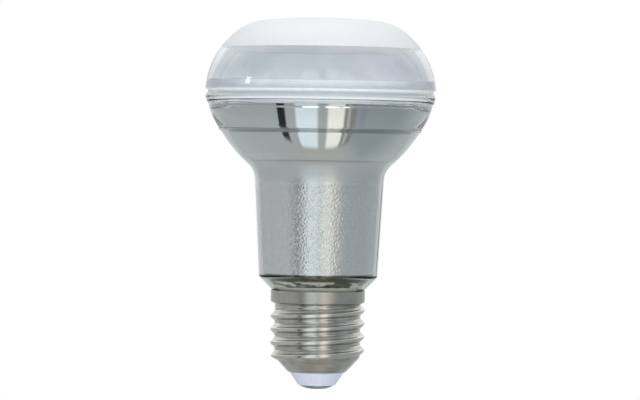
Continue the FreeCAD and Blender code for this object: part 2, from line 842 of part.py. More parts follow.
parts = {
    "centre_contact": centre_contact(),
    "insulator": insulator(),
    "screw_shell": screw_shell(),
    "cap_cement": cap_cement(),
    "reflector_body": reflector_body(),
    "front_cover": front_cover(),
    "cover_sealant": cover_sealant(),
    "driver_sleeve": driver_sleeve(),
    "heat_spreader": heat_spreader(),
    "led_board": led_board(),
    "led_packages": led_packages(),
    "board_screws": board_screws(),
    "driver_board": driver_board(),
    "electrolytic_capacitor": electrolytic_capacitor(),
    "inductor": inductor(),
    "film_capacitor": film_capacitor(),
    "fuse_resistor": fuse_resistor(),
    "driver_chip": surface_chip(chip_width, chip_length, chip_height, chip_lead_count,
                                board_shoulder_z + chip_rise),
    "bridge_rectifier": surface_chip(bridge_width, bridge_length, bridge_height, bridge_lead_count,
                                     board_foot_z + bridge_rise),
    "output_pins": output_pins(),
    "live_lead": live_lead(),
    "neutral_lead": neutral_lead(),
}

os.makedirs("parts", exist_ok=True)
for name, shape in parts.items():
    shape.exportStep(f"parts/{name}.step")
    print(name, "valid" if shape.isValid() else "invalid", len(shape.Solids), round(shape.Volume, 1))
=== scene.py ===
import math

import bpy
from mathutils import Matrix, Vector


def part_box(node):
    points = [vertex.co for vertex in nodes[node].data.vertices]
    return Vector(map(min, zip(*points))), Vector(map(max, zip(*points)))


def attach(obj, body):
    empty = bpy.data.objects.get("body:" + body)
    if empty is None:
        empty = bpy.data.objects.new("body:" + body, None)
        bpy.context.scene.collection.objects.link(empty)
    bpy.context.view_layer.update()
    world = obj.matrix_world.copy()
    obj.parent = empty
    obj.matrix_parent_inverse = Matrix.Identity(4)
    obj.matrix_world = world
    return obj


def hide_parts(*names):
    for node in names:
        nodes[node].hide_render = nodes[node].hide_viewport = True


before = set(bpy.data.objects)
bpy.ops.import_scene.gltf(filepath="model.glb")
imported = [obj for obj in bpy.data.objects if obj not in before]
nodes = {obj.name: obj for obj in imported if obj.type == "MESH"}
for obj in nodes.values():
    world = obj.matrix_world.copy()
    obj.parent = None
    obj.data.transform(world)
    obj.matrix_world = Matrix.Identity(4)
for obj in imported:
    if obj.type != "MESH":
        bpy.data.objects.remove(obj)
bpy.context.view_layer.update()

scene = bpy.context.scene

# Screw shell
# Thin brass sheet, drawn to a cup, rolled into the right-hand knuckle thread of a 27 mm cap, and nickel
# plated. The rolls leave fine lines and low ridges round it, and the collar above is duller from handling.

SHELL_SHEET = 0.0003
THREAD_PITCH = 0.003629
THREAD_DEPTH = 0.0012
THREAD_SHARPNESS = 1.5
FIRST_CREST = 0.00694
RUN_IN = (0.5 * math.pi, 1.2 * math.pi)
RUN_OUT = (8.0 * math.pi, 9.0 * math.pi)
SHELL_LINE = [
    (0.0080, 0.0046, 0), (0.0117, 0.0086, 0.0012), (0.0117, 0.02312, 0.0005),
    (0.01285, 0.02367, 0.0005), (0.01285, 0.02682, 0),
]
SHELL_TOP_INSIDE = 0.02668
RIDGES_A_PITCH = 4
RIDGE_HEIGHT = 0.000065
CONE_TOP = (0.0084, 0.0092)
COLLAR_FOOT = (0.0230, 0.0236)
COLOUR, FLOAT, VECTOR = "NodeSocketColor", "NodeSocketFloat", "NodeSocketVector"


def rounded_line(corners, step=0.00025):
    """Points along an open line of (radius, height, rounding) corners, each rounded by a tangent arc."""
    points = []
    for i, (radius, height, rounding) in enumerate(corners):
        here = Vector((radius, height))
        if rounding == 0:
            points.append(here)
            continue
        back = (Vector(corners[i - 1][:2]) - here).normalized()
        ahead = (Vector(corners[i + 1][:2]) - here).normalized()
        half = back.angle(ahead) / 2
        sides = min((Vector(corners[k][:2]) - here).length for k in (i - 1, i + 1))
        reach = min(rounding / math.tan(half), 0.98 * sides)
        rounding = reach * math.tan(half)
        centre = here + (back + ahead).normalized() * rounding / math.sin(half)
        first, last = here + back * reach - centre, here + ahead * reach - centre
        start = math.atan2(first.y, first.x)
        turn = (math.atan2(last.y, last.x) - start + math.pi) % (2 * math.pi) - math.pi
        count = max(2, math.ceil(abs(turn) / math.radians(3)))
        for n in range(count + 1):
            angle = start + turn * n / count
            points.append(centre + rounding * Vector((math.cos(angle), math.sin(angle))))
    fine = [points[0]]
    for point in points[1:]:
        start = fine[-1]
        pieces = max(1, math.ceil((point - start).length / step))
        fine += [start.lerp(point, (n + 1) / pieces) for n in range(pieces)]
    return [(p.x, p.y) for p in fine]


def turned_piece(name, rows, steps=180, lift=None):
    """Closed mesh of revolution through a loop of (radius, height) rows, each raised by lift at an angle."""
    corners, rings, faces = [], [], []
    for radius, height in rows:
        count = steps if radius > 1e-7 else 1
        rings.append([len(corners) + n % count for n in range(steps + 1)])
        for n in range(count):
            angle = 2 * math.pi * n / steps
            out = radius + (lift(height, angle) if lift else 0)
            corners.append((out * math.cos(angle), out * math.sin(angle), height))
    for low, high in zip(rings, rings[1:] + rings[:1]):
        for n in range(steps):
            face = [low[n], low[n + 1], high[n + 1], high[n]]
            face = [corner for k, corner in enumerate(face) if corner != face[k - 1]]
            if len(face) > 2:
                faces.append(face)
    mesh = bpy.data.meshes.new(name)
    mesh.from_pydata(corners, [], faces)
    mesh.shade_smooth()
    mesh.set_sharp_from_angle(angle=math.radians(40))
    piece = bpy.data.objects.new(name, mesh)
    scene.collection.objects.link(piece)
    return piece


def thread_lift(height, angle):
    """How far the rolled thread stands above its root at a height and angle of the shell."""
    turn = math.floor((height - FIRST_CREST) / THREAD_PITCH - angle / (2 * math.pi) + 0.5)
    crest = FIRST_CREST + THREAD_PITCH * (turn + angle / (2 * math.pi))
    along = 2 * math.pi * turn + angle
    into = min(max((along - RUN_IN[0]) / (RUN_IN[1] - RUN_IN[0]), 0), 1)
    out = min(max((RUN_OUT[1] - along) / (RUN_OUT[1] - RUN_OUT[0]), 0), 1)
    swell = into * into * (3 - 2 * into) * out * out * (3 - 2 * out)
    wave = 0.5 + 0.5 * math.cos(2 * math.pi * (height - crest) / THREAD_PITCH)
    return THREAD_DEPTH * swell * wave ** THREAD_SHARPNESS


def add(tree, kind, sockets=None, **settings):
    """Adds one shader node, sets its options, and fills or joins each named socket."""
    node = tree.nodes.new(kind)
    for option, value in settings.items():
        setattr(node, option, value)
    for socket, value in (sockets or {}).items():
        if isinstance(value, bpy.types.NodeSocket):
            tree.links.new(value, node.inputs[socket])
        else:
            node.inputs[socket].default_value = value
    return node


def maths(tree, operation, *values):
    """Result of one sum on plain values."""
    return add(tree, "ShaderNodeMath", dict(enumerate(values)), operation=operation).outputs[0]


def vector_maths(tree, operation, *values):
    """Result of one sum on vectors."""
    node = add(tree, "ShaderNodeVectorMath", dict(enumerate(values)), operation=operation)
    return node.outputs["Value" if operation in ("LENGTH", "DOT_PRODUCT") else "Vector"]


def ramp(tree, value, start, stop, low=0.0, high=1.0, soft=False):
    """Goes from low to high while a value goes from start to stop, in an S-curve if soft."""
    return add(tree, "ShaderNodeMapRange",
               {"Value": value, "From Min": start, "From Max": stop, "To Min": low, "To Max": high},
               interpolation_type="SMOOTHSTEP" if soft else "LINEAR").outputs[0]


def mixed(tree, share, first, second, way="MIX"):
    """Colour between a first and a second one, by the share of the second."""
    node = add(tree, "ShaderNodeMix", {0: share, 6: first, 7: second}, data_type="RGBA", blend_type=way)
    return node.outputs[2]


def mottling(tree, place, scale, detail):
    """Soft random value over the surface, from 0 to 1."""
    return add(tree, "ShaderNodeTexNoise", {"Vector": place, "Scale": scale, "Detail": detail}).outputs["Fac"]


def raised(tree, height, distance, strength=1.0, over=None):
    """Normal of a surface that a height raises, over another normal if one is given."""
    node = add(tree, "ShaderNodeBump", {"Strength": strength, "Distance": distance, "Height": height})
    if over is not None:
        tree.links.new(over, node.inputs["Normal"])
    return node.outputs[0]


def place_on(tree):
    """Place on the piece, in its own metres."""
    return add(tree, "ShaderNodeTexCoord").outputs["Object"]


def split(tree, place):
    """X, Y and Z of a place."""
    return add(tree, "ShaderNodeSeparateXYZ", {0: place}).outputs


def feed(tree, node, **outputs):
    """Joins outputs to a node's inputs, each named with _ for a space."""
    for socket, output in outputs.items():
        tree.links.new(output, node.inputs[socket.replace("_", " ")])


def effect(name, takes, gives):
    """Empty shader node group with the named inputs and outputs: (group, its inputs, its output node)."""
    group = bpy.data.node_groups.new(name, "ShaderNodeTree")
    for label, kind, value in takes:
        socket = group.interface.new_socket(label, in_out="INPUT", socket_type=kind)
        socket.default_value = value
    for label, kind in gives:
        group.interface.new_socket(label, in_out="OUTPUT", socket_type=kind)
    inputs = group.nodes.new("NodeGroupInput")
    return group, inputs.outputs, group.nodes.new("NodeGroupOutput")


def finish(name, **sockets):
    """Material with one Principled shader, its constant sockets set: (material, tree, shader)."""
    material = bpy.data.materials.new(name)
    material.use_nodes = True
    tree = material.node_tree
    tree.nodes.clear()
    shader = add(tree, "ShaderNodeBsdfPrincipled", {k.replace("_", " "): v for k, v in sockets.items()})
    add(tree, "ShaderNodeOutputMaterial", {"Surface": shader.outputs[0]})
    return material, tree, shader


def wear(piece, *materials):
    """Gives a piece its materials, one a slot, the last for any slot that is left."""
    while len(piece.data.materials) < len(materials):
        piece.data.materials.append(None)
    for slot, material in zip(piece.material_slots, materials + materials[-1:] * 9):
        slot.link = "OBJECT"
        slot.material = material
    return piece


# Rolled lines: bands that run round the axis, as a roller or a lathe leaves them.
rolled_lines, given, result = effect(
    "rolled_lines",
    [("Colour", COLOUR, (0.6, 0.6, 0.6, 1)), ("Tint", COLOUR, (0.4, 0.4, 0.4, 1)), ("Lines", FLOAT, 9000.0),
     ("Roughness", FLOAT, 0.25), ("Spread", FLOAT, 0.1), ("Relief", FLOAT, 0.2),
     ("Rub from", FLOAT, 0.0125), ("Rub to", FLOAT, 0.0129)],
    [("Colour", COLOUR), ("Roughness", FLOAT), ("Normal", VECTOR)])
tree = rolled_lines
place = place_on(tree)
flat = vector_maths(tree, "MULTIPLY", place, (1, 1, 0))
reach = vector_maths(tree, "LENGTH", flat)
band_place = add(tree, "ShaderNodeCombineXYZ", {"X": reach, "Z": split(tree, place)["Z"]}).outputs[0]
drift = vector_maths(tree, "MULTIPLY", place, (0.02, 0.02, 0))
lines = mottling(tree, vector_maths(tree, "ADD", band_place, drift), given["Lines"], 3.0)
tone = ramp(tree, maths(tree, "MULTIPLY", lines, mottling(tree, place, 260.0, 4.0)), 0.15, 0.4)
rub = ramp(tree, reach, given["Rub from"], given["Rub to"], soft=True)
bright = mixed(tree, rub, mixed(tree, tone, given["Tint"], given["Colour"]), given["Colour"])
swing = maths(tree, "SUBTRACT", lines, 0.5)
spread = maths(tree, "MULTIPLY_ADD", swing, given["Spread"], given["Roughness"])
relief = raised(tree, maths(tree, "MULTIPLY", lines, given["Relief"]), 0.00005, strength=0.5)
feed(tree, result, Colour=bright, Roughness=spread, Normal=relief)

line = rounded_line(SHELL_LINE)
inner_line = [(r - SHELL_SHEET, z) for r, z in line[:-1]] + [(line[-1][0] - SHELL_SHEET, SHELL_TOP_INSIDE)]
shell = turned_piece("threaded_shell", line + inner_line[::-1], steps=200, lift=thread_lift)
nickel, tree, shader = finish("nickel_plate", Metallic=1.0)
lined = add(tree, "ShaderNodeGroup",
            {"Colour": (0.86, 0.84, 0.79, 1), "Tint": (0.56, 0.54, 0.49, 1), "Lines": 7000.0,
             "Roughness": 0.21, "Spread": 0.15, "Relief": 0.25}, node_tree=rolled_lines).outputs
place = place_on(tree)
axes = split(tree, place)
collar = ramp(tree, axes["Z"], *COLLAR_FOOT)
cone = ramp(tree, axes["Z"], *CONE_TOP, 1.0, 0.0)
on_thread = maths(tree, "SUBTRACT", 1.0, maths(tree, "ADD", collar, cone))
bearing = maths(tree, "ARCTAN2", axes["Y"], axes["X"])
wound = maths(tree, "MULTIPLY", bearing, -RIDGES_A_PITCH)
phase = maths(tree, "MULTIPLY_ADD", axes["Z"], RIDGES_A_PITCH * 2 * math.pi / THREAD_PITCH, wound)
ridges = maths(tree, "MULTIPLY", maths(tree, "COSINE", phase), on_thread)
drawn = raised(tree, ridges, RIDGE_HEIGHT, over=lined["Normal"])
handled = ramp(tree, mottling(tree, place, 800.0, 4.0), 0.42, 0.58)
stain = mixed(tree, handled, (0.71, 0.69, 0.66, 1), (0.76, 0.75, 0.74, 1))
dim = mixed(tree, cone, (1, 1, 1, 1), (0.82, 0.82, 0.81, 1))
aged = mixed(tree, 1.0, lined["Colour"], mixed(tree, collar, dim, stain), way="MULTIPLY")
softer = maths(tree, "MULTIPLY_ADD", collar, 0.10, lined["Roughness"])
feed(tree, shader, Base_Color=aged, Roughness=softer, Normal=drawn)
wear(shell, nickel)
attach(shell, "root")
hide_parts("screw_shell")

# Insulator
# Opaque white glass, fused in the cap between the shell and the centre contact. It is smooth and glossy,
# with a faint blue tone and a soft unevenness from the melt.

# Grain: fine mottling of colour, gloss and relief, for moulded, painted and fired surfaces.
grain, given, result = effect(
    "grain",
    [("Colour", COLOUR, (0.8, 0.8, 0.8, 1)), ("Tint", COLOUR, (0.7, 0.7, 0.7, 1)), ("Scale", FLOAT, 2000.0),
     ("Roughness", FLOAT, 0.4), ("Spread", FLOAT, 0.15), ("Relief", FLOAT, 0.3), ("Dust", FLOAT, 0.1)],
    [("Colour", COLOUR), ("Roughness", FLOAT), ("Normal", VECTOR)])
tree = grain
place = place_on(tree)
fine = mottling(tree, place, given["Scale"], 5.0)
broad = mottling(tree, place, 240.0, 3.0)
plain = mixed(tree, ramp(tree, fine, 0.35, 0.65), given["Tint"], given["Colour"])
settled = ramp(tree, broad, 0.45, 0.8, 0.0, given["Dust"])
dusty = mixed(tree, settled, plain, (0.45, 0.43, 0.40, 1))
swing = maths(tree, "SUBTRACT", broad, 0.5)
spread = maths(tree, "MULTIPLY_ADD", swing, given["Spread"], given["Roughness"])
relief = raised(tree, maths(tree, "MULTIPLY", fine, given["Relief"]), 0.00005, strength=0.5)
feed(tree, result, Colour=dusty, Roughness=spread, Normal=relief)


def covered_by(group, name, values, **sockets):
    """Material with one Principled shader, whose colour, roughness and normal an effect gives."""
    material, tree, shader = finish(name, **sockets)
    given = add(tree, "ShaderNodeGroup", values, node_tree=group).outputs
    feed(tree, shader, Base_Color=given["Colour"], Roughness=given["Roughness"], Normal=given["Normal"])
    return material


opal = covered_by(
    grain, "white_fused_glass",
    {"Colour": (0.57, 0.61, 0.72, 1), "Tint": (0.54, 0.58, 0.70, 1), "Scale": 900.0, "Roughness": 0.3,
     "Spread": 0.15, "Relief": 0.1, "Dust": 0.04}, Coat_Weight=0.4, Coat_Roughness=0.08, IOR=1.5)
wear(nodes["insulator"], opal)

# Centre contact
# Brass disc and eyelet, riveted through the insulator and tin plated. It is turned round and round in the
# lampholder, so its lines are broken and its middle is rubbed.

tin = covered_by(
    rolled_lines, "tin_plate",
    {"Colour": (0.50, 0.50, 0.50, 1), "Tint": (0.30, 0.30, 0.31, 1), "Lines": 4000.0, "Roughness": 0.32,
     "Spread": 0.2, "Relief": 0.3, "Rub from": 0.0015, "Rub to": 0.0}, Metallic=1.0)
wear(nodes["centre_contact"], tin)

# Cap cement
# Ring of cement, grey-white and full of fine sand. It is laid between the glass tail and the shell, and baked
# until it holds the two together.

cement = covered_by(
    grain, "baked_cement",
    {"Colour": (0.62, 0.58, 0.50, 1), "Tint": (0.42, 0.39, 0.34, 1), "Scale": 3500.0, "Roughness": 0.85,
     "Spread": 0.1, "Relief": 1.0, "Dust": 0.2}, IOR=1.5)
wear(nodes["cap_cement"], cement)

# Reflector body
# Pressed clear glass with fire-polished faces, from the open bowl down to the tail that the cap holds. The
# rim stays clear, and the rest shows the silvering behind it.


def show(tree, surface):
    """Joins a shader's output to the material's surface, in place of the one that was there."""
    end = next(node for node in tree.nodes if node.bl_idname == "ShaderNodeOutputMaterial")
    tree.links.new(surface, end.inputs["Surface"])


def lets_light_in(tree, shader, tone):
    """Lets lamplight through glass to what is behind it, in place of the dark shadow of solid glass."""
    ray = add(tree, "ShaderNodeLightPath").outputs
    dim = maths(tree, "MAXIMUM", ray["Is Shadow Ray"], ray["Is Diffuse Ray"])
    clear = add(tree, "ShaderNodeBsdfTransparent", {"Color": tone}).outputs[0]
    show(tree, add(tree, "ShaderNodeMixShader", {0: dim, 1: shader.outputs[0], 2: clear}).outputs[0])


clear_glass, tree, shader = finish(
    "pressed_glass", Base_Color=(0.97, 0.98, 0.975, 1), Metallic=0.0, Transmission_Weight=1.0, IOR=1.3)
place = place_on(tree)
smears = ramp(tree, mottling(tree, place, 420.0, 5.0), 0.5, 0.8, 0.0, 0.06)
waves = raised(tree, mottling(tree, place, 180.0, 2.0), 0.0001, strength=0.15)
feed(tree, shader, Roughness=smears, Normal=waves)
lets_light_in(tree, shader, (0.92, 0.93, 0.93, 1))
wear(nodes["reflector_body"], clear_glass)

# Silvering
# Bright aluminium, evaporated on the inside of the body. It is smooth in the bowl, satin in the throat and
# grainy on the etched neck, and above the cap it is dark olive, with lighter patches.

FILM_GAP = 0.00002
FILM_DEPTH = 0.00006
FILM_FOOT = 0.0140
FILM_TOP = 0.0775
FILM_SPACING = 0.0006
BODY_WALL = 0.0012
BODY_LINE = [
    (0.0105, 0.01352, 0), (0.0105, 0.02476, 0.0015), (0.01615, 0.03049, 0.0008), (0.01775, 0.05949, 0.0055),
    (0.0239, 0.06489, 0.028), (0.02620, 0.06927, 0), (0.02750, 0.07090, 0), (0.03065, 0.07759, 0),
]
LEDGE_REACH = 0.0285
LEDGE_HEIGHT = 0.0787

# Heights between which one stretch of the film gives way to the next.
CEMENT_TOP = (0.0281, 0.0285)
CHAMFER_TOP = (0.0297, 0.0301)
NECK_FOOT = (0.0312, 0.0316)
THROAT_FOOT = (0.0550, 0.0590)
THROAT_TOP = (0.0622, 0.0627)
BOWL_SHADE = (0.0722, 0.0755)
BRIM = (0.0764, 0.0769)
LEDGE_SHADE = (0.0769, 0.0772)

# Painted shade: a grey line over the crease at the throat's top, as its height and half width, and a dark
# line in the step, with its fading edge.
THROAT_SHADE_LINE = (0.06250, 0.00018)
STEP_MIDDLE = 0.0704
STEP_HALF = (0.0004, 0.0006)
GRAIN_SCALE = 1900.0
GRAIN_HEIGHT = 0.00014
BRIM_HEIGHT = 0.0004
THROAT_SATIN = 0.40
# Lobes of lighter patches round the dark olive film above the cap, and their weight against the streaks.
PATCH_LOBES = 8
PATCH_LOBE_SHARE = 0.08


def moved_in(corners, wall):
    """The same open line one wall nearer the axis."""
    moved = []
    for i, (radius, height, rounding) in enumerate(corners):
        sides = []
        for a, b in ((i - 1, i), (i, i + 1)):
            if a >= 0 and b < len(corners):
                along = (Vector(corners[b][:2]) - Vector(corners[a][:2])).normalized()
                sides.append((along, Vector((-along.y, along.x))))
        normals = sides[0][1] + sides[-1][1]
        shift = normals * (2 * wall / normals.length_squared)
        turns_in = sides[0][0].x * sides[-1][0].y - sides[0][0].y * sides[-1][0].x > 0
        if rounding:
            rounding = max(rounding - wall, 0) if turns_in else rounding + wall
        moved.append((radius + shift.x, height + shift.y, rounding))
    return moved


def film_line(inset):
    """The film's line at an inset from the body's outer face, with its top run up to under the ledge."""
    corners = moved_in(BODY_LINE, inset)
    step, rim = corners[-2], (LEDGE_REACH + BODY_WALL - inset, LEDGE_HEIGHT)
    share = (FILM_TOP - step[1]) / (rim[1] - step[1])
    top = (step[0] + (rim[0] - step[0]) * share, FILM_TOP, 0)
    return rounded_line([(corners[0][0], FILM_FOOT, 0)] + corners[1:-1] + [top], step=FILM_SPACING)


outer = film_line(BODY_WALL + FILM_GAP)
inner = film_line(BODY_WALL + FILM_GAP + FILM_DEPTH)
film = turned_piece("silvering", outer + inner[::-1])
silver, tree, shader = finish("evaporated_aluminium")
place = place_on(tree)
axes = split(tree, place)
rise = axes["Z"]
under_bowl = ramp(tree, rise, *THROAT_TOP, 1.0, 0.0, soft=True)
above_chamfer = ramp(tree, rise, *NECK_FOOT)
neck = maths(tree, "MULTIPLY", under_bowl, above_chamfer)
throat = maths(tree, "MULTIPLY", ramp(tree, rise, *THROAT_FOOT, soft=True), under_bowl)
etched = maths(tree, "SUBTRACT", neck, throat)
polish = ramp(tree, neck, 0.0, 1.0, 0.03, 0.13)
rough = maths(tree, "MULTIPLY_ADD", throat, THROAT_SATIN, polish)
metal = maths(tree, "MULTIPLY_ADD", neck, -0.14, ramp(tree, rise, *CEMENT_TOP, 0.3, 1.0))
sparkle = mottling(tree, place, GRAIN_SCALE, 1.0)
grains = raised(tree, maths(tree, "MULTIPLY", sparkle, etched), GRAIN_HEIGHT)
pressed = raised(tree, ramp(tree, rise, *BRIM, 0.0, -0.52), BRIM_HEIGHT, over=grains)
# Above the cap the film is dark olive. It is lighter in patches, and lighter again down by the cement.
streaks = mottling(tree, vector_maths(tree, "MULTIPLY", place, (1.0, 1.0, 4.0)), 340.0, 3.0)
bearing = maths(tree, "ARCTAN2", axes["Y"], axes["X"])
patch_lobes = maths(tree, "COSINE", maths(tree, "MULTIPLY", bearing, PATCH_LOBES))
lighter_patches = ramp(tree, maths(tree, "MULTIPLY_ADD", patch_lobes, PATCH_LOBE_SHARE, streaks), 0.45, 0.56)
spots = maths(tree, "MULTIPLY", lighter_patches, ramp(tree, rise, *CHAMFER_TOP, 1.0, 0.0))
lighter_share = maths(tree, "MAXIMUM", spots, ramp(tree, rise, *CEMENT_TOP, 1.0, 0.0))
olive_foot = mixed(tree, lighter_share, (0.10, 0.105, 0.06, 1), (0.84, 0.85, 0.75, 1))
smooth = mixed(tree, mottling(tree, place, 130.0, 3.0), (0.82, 0.85, 0.86, 1), (0.90, 0.91, 0.90, 1))
grey = ramp(tree, sparkle, 0.35, 0.65, 0.80, 0.87)
satin = mixed(tree, etched, smooth, grey)
# Painted shade: a grey line over the crease at the top of the throat.
lined = mixed(tree, maths(tree, "COMPARE", rise, *THROAT_SHADE_LINE), satin, (0.62, 0.64, 0.64, 1))
whole = mixed(tree, above_chamfer, olive_foot, lined)
# Painted shade: the film is darkened toward black in a line in the step, under the ledge at its top, and over
# the upper bowl.
from_step = maths(tree, "ABSOLUTE", maths(tree, "SUBTRACT", rise, STEP_MIDDLE))
painted_step_shade = ramp(tree, from_step, *STEP_HALF, 0.45, 0.0)
painted_ledge_and_step_shade = maths(tree, "ADD", ramp(tree, rise, *LEDGE_SHADE, 0.0, 0.15), painted_step_shade)
painted_film_shade = maths(tree, "ADD", painted_ledge_and_step_shade, ramp(tree, rise, *BOWL_SHADE, 0.0, 0.09))
shown = mixed(tree, painted_film_shade, whole, (0.0, 0.0, 0.0, 1))
feed(tree, shader, Base_Color=shown, Metallic=metal, Roughness=rough, Normal=pressed)
wear(film, silver)
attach(film, "root")

# Front cover
# Blown clear dome, with its crown acid-frosted to a white satin that hides the packages. Its spigot drops
# into the body's mouth, and the glue that holds it has crept up inside the foot and set milky. In bands at
# the spigot's foot and at the seam the glue is painted lighter and glowing: painted light.

FROST_FOOT = 0.09272
COVER_WALL = 0.0015
COVER_LIP = 0.08129
SPIGOT_FOOT = 0.07869
SPIGOT_RADIUS = 0.0293
SPIGOT_BORE = 0.0281
SPIGOT_BEND = 0.0022
GLUE_TOP = 0.0836
GLUE_REACH = 0.0299
GLUE_FADE = (0.0810, 0.0828)
# Bands at the spigot's foot and at the seam, where the glue is painted lighter and glowing, as painted light.
GLUE_EDGE = (0.0791, 0.0796)
SEAM_EDGES = (0.0803, 0.0810), (0.0812, 0.0817)
PALE_FOOT = (0.0815, 0.0875)
SIDE_ARC = (0.00905, 0.07959, 0.0225)
SHOULDER_ARC = (0.013871, 0.085335, 0.0150)
CROWN_ARC = (0.0, -0.069043, 0.170)
SHOULDER_BEND = math.radians(50)


def dome_line(inset, foot):
    """Points up the dome's arcs at an inset from its outer face, from a foot height to the axis."""
    points = []
    meet = math.atan2(SHOULDER_ARC[1] - CROWN_ARC[1], SHOULDER_ARC[0])
    start = math.asin((foot - SIDE_ARC[1]) / (SIDE_ARC[2] - inset))
    stretches = [(SIDE_ARC, start, SHOULDER_BEND, 60), (SHOULDER_ARC, SHOULDER_BEND, meet, 24),
                 (CROWN_ARC, meet, math.pi / 2, 40)]
    for (x, z, radius), first, last, count in stretches:
        for n in range(count):
            angle = first + (last - first) * n / count
            points.append((x + (radius - inset) * math.cos(angle), z + (radius - inset) * math.sin(angle)))
    return points + [(0.0, CROWN_ARC[1] + CROWN_ARC[2] - inset)]


outside = dome_line(0, COVER_LIP)
inside = dome_line(COVER_WALL, COVER_LIP + SPIGOT_BEND)
foot = rounded_line([
    inside[0] + (0,), (0.0291, 0.0816, 0.0016), (SPIGOT_BORE, 0.0800, 0.002), (SPIGOT_BORE, SPIGOT_FOOT, 0),
    (SPIGOT_RADIUS, SPIGOT_FOOT, 0), (SPIGOT_RADIUS, COVER_LIP, 0.0003),
    (outside[0][0], COVER_LIP, 0.00025), outside[1] + (0,)])
dome = turned_piece("cover_dome", outside[2:] + inside[::-1] + foot[1:], steps=240)
for face in dome.data.polygons:
    faces_in = face.normal.dot(face.center - Vector((0, 0, COVER_LIP))) < 0
    if face.center.z > FROST_FOOT:
        face.material_index = 2 if faces_in else 1
    elif math.hypot(face.center.x, face.center.y) < GLUE_REACH and face.center.z < GLUE_TOP:
        face.material_index = 3

cover_glass, tree, shader = finish("blown_cover", Metallic=0.0, Transmission_Weight=1.0, IOR=1.45)
place = place_on(tree)
smears = ramp(tree, mottling(tree, place, 300.0, 5.0), 0.6, 0.9, 0.0, 0.06)
waves = raised(tree, mottling(tree, place, 90.0, 2.0), 0.0004, strength=0.2)
clouds = ramp(tree, mottling(tree, place, 75.0, 2.0), 0.4, 0.6)
tinted = mixed(tree, clouds, (0.83, 0.87, 0.885, 1), (0.93, 0.94, 0.965, 1))
low_down = ramp(tree, split(tree, place)["Z"], *PALE_FOOT, 1.0, 0.0, soft=True)
paler = mixed(tree, low_down, tinted, (0.97, 0.98, 0.99, 1))
feed(tree, shader, Base_Color=paler, Roughness=smears, Normal=waves)
lets_light_in(tree, shader, (0.94, 0.95, 0.97, 1))

frost = covered_by(
    grain, "satin_frost",
    {"Colour": (0.825, 0.82, 0.82, 1), "Tint": (0.785, 0.78, 0.78, 1), "Scale": 1500.0, "Roughness": 0.55,
     "Spread": 0.1, "Relief": 0.15, "Dust": 0.0}, IOR=1.45)
tree = frost.node_tree
solid = tree.nodes["Principled BSDF"].outputs[0]
glow = add(tree, "ShaderNodeBsdfTranslucent", {"Color": (0.80, 0.82, 0.84, 1)}).outputs[0]
show(tree, add(tree, "ShaderNodeMixShader", {0: 0.42, 1: solid, 2: glow}).outputs[0])

frost_back, tree, shader = finish("back_of_frost", Roughness=0.5)
haze = ramp(tree, mottling(tree, place_on(tree), 400.0, 3.0), 0.0, 1.0, 0.0, 0.08)
feed(tree, shader, Alpha=haze)

# Glue under the foot, with painted light: a glow and a lighter colour in bands at its edges.
glue, tree, shader = finish("glued_foot_painted_glow", IOR=1.41, Emission_Strength=1.0)
place = place_on(tree)
rise = split(tree, place)["Z"]
streaks = mottling(tree, place, 300.0, 3.0)
low = ramp(tree, rise, *GLUE_EDGE, 1.0, 0.0, soft=True)
seam = maths(tree, "MULTIPLY", ramp(tree, rise, *SEAM_EDGES[1], 1.0, 0.0, soft=True),
             ramp(tree, rise, *SEAM_EDGES[0], soft=True))
# Painted light: the edge bands get a lighter colour in streaks, and a glow.
edge = maths(tree, "MAXIMUM", low, seam)
edge_light_streaks = maths(tree, "MULTIPLY", edge, streaks)
milky_with_painted_edges = mixed(tree, edge_light_streaks, (0.625, 0.66, 0.695, 1), (0.78, 0.80, 0.82, 1))
painted_edge_glow = mixed(tree, edge, (0.0, 0.0, 0.0, 1), (0.26, 0.27, 0.28, 1))
glue_end = maths(tree, "MULTIPLY_ADD", streaks, 0.0002, rise)
covered = ramp(tree, glue_end, *GLUE_FADE, 1.0, 0.0, soft=True)
rubbed = ramp(tree, streaks, 0.0, 1.0, 0.3, 0.6)
feed(tree, shader, Base_Color=milky_with_painted_edges, Emission_Color=painted_edge_glow, Alpha=covered, Roughness=rubbed)

wear(dome, cover_glass, frost, frost_back, glue)
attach(dome, "root")
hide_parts("front_cover")

# Cover sealant
# Bead of clear silicone, run round the seam between cover and body and wiped with a finger. It has set
# slightly milky and uneven.

silicone = covered_by(
    grain, "clear_silicone",
    {"Colour": (0.90, 0.92, 0.94, 1), "Tint": (0.80, 0.83, 0.86, 1), "Scale": 700.0, "Roughness": 0.2,
     "Spread": 0.2, "Relief": 0.4, "Dust": 0.05}, Metallic=0.0, Transmission_Weight=0.3, IOR=1.41)
wear(nodes["cover_sealant"], silicone)

# Driver sleeve
# Stepped tube of injection-moulded white plastic with a spark-eroded face. It stands on the glass cone
# inside the neck and holds the driver board.

sleeve_plastic = covered_by(
    grain, "sleeve_plastic",
    {"Colour": (0.84, 0.84, 0.82, 1), "Tint": (0.80, 0.80, 0.78, 1), "Scale": 5000.0, "Roughness": 0.5,
     "Spread": 0.15, "Relief": 0.35, "Dust": 0.08}, IOR=1.5)
wear(nodes["driver_sleeve"], sleeve_plastic)

# Heat spreader
# Plate pressed from aluminium sheet. Its skirt is drawn from the same blank, so draw lines run round it, and
# it sits round the sleeve.

aluminium = covered_by(
    rolled_lines, "pressed_aluminium",
    {"Colour": (0.78, 0.79, 0.80, 1), "Tint": (0.62, 0.63, 0.65, 1), "Lines": 3500.0, "Roughness": 0.32,
     "Spread": 0.2, "Relief": 0.35, "Rub from": 0.0160, "Rub to": 0.0161}, Metallic=1.0)
wear(nodes["heat_spreader"], aluminium)

# Board of packages
# Aluminium-cored disc under white solder resist, screwed down on the spreader, with a ring of packages: white
# moulded cups filled with yellow phosphor.

WINDOW_DEPTH = 0.00008

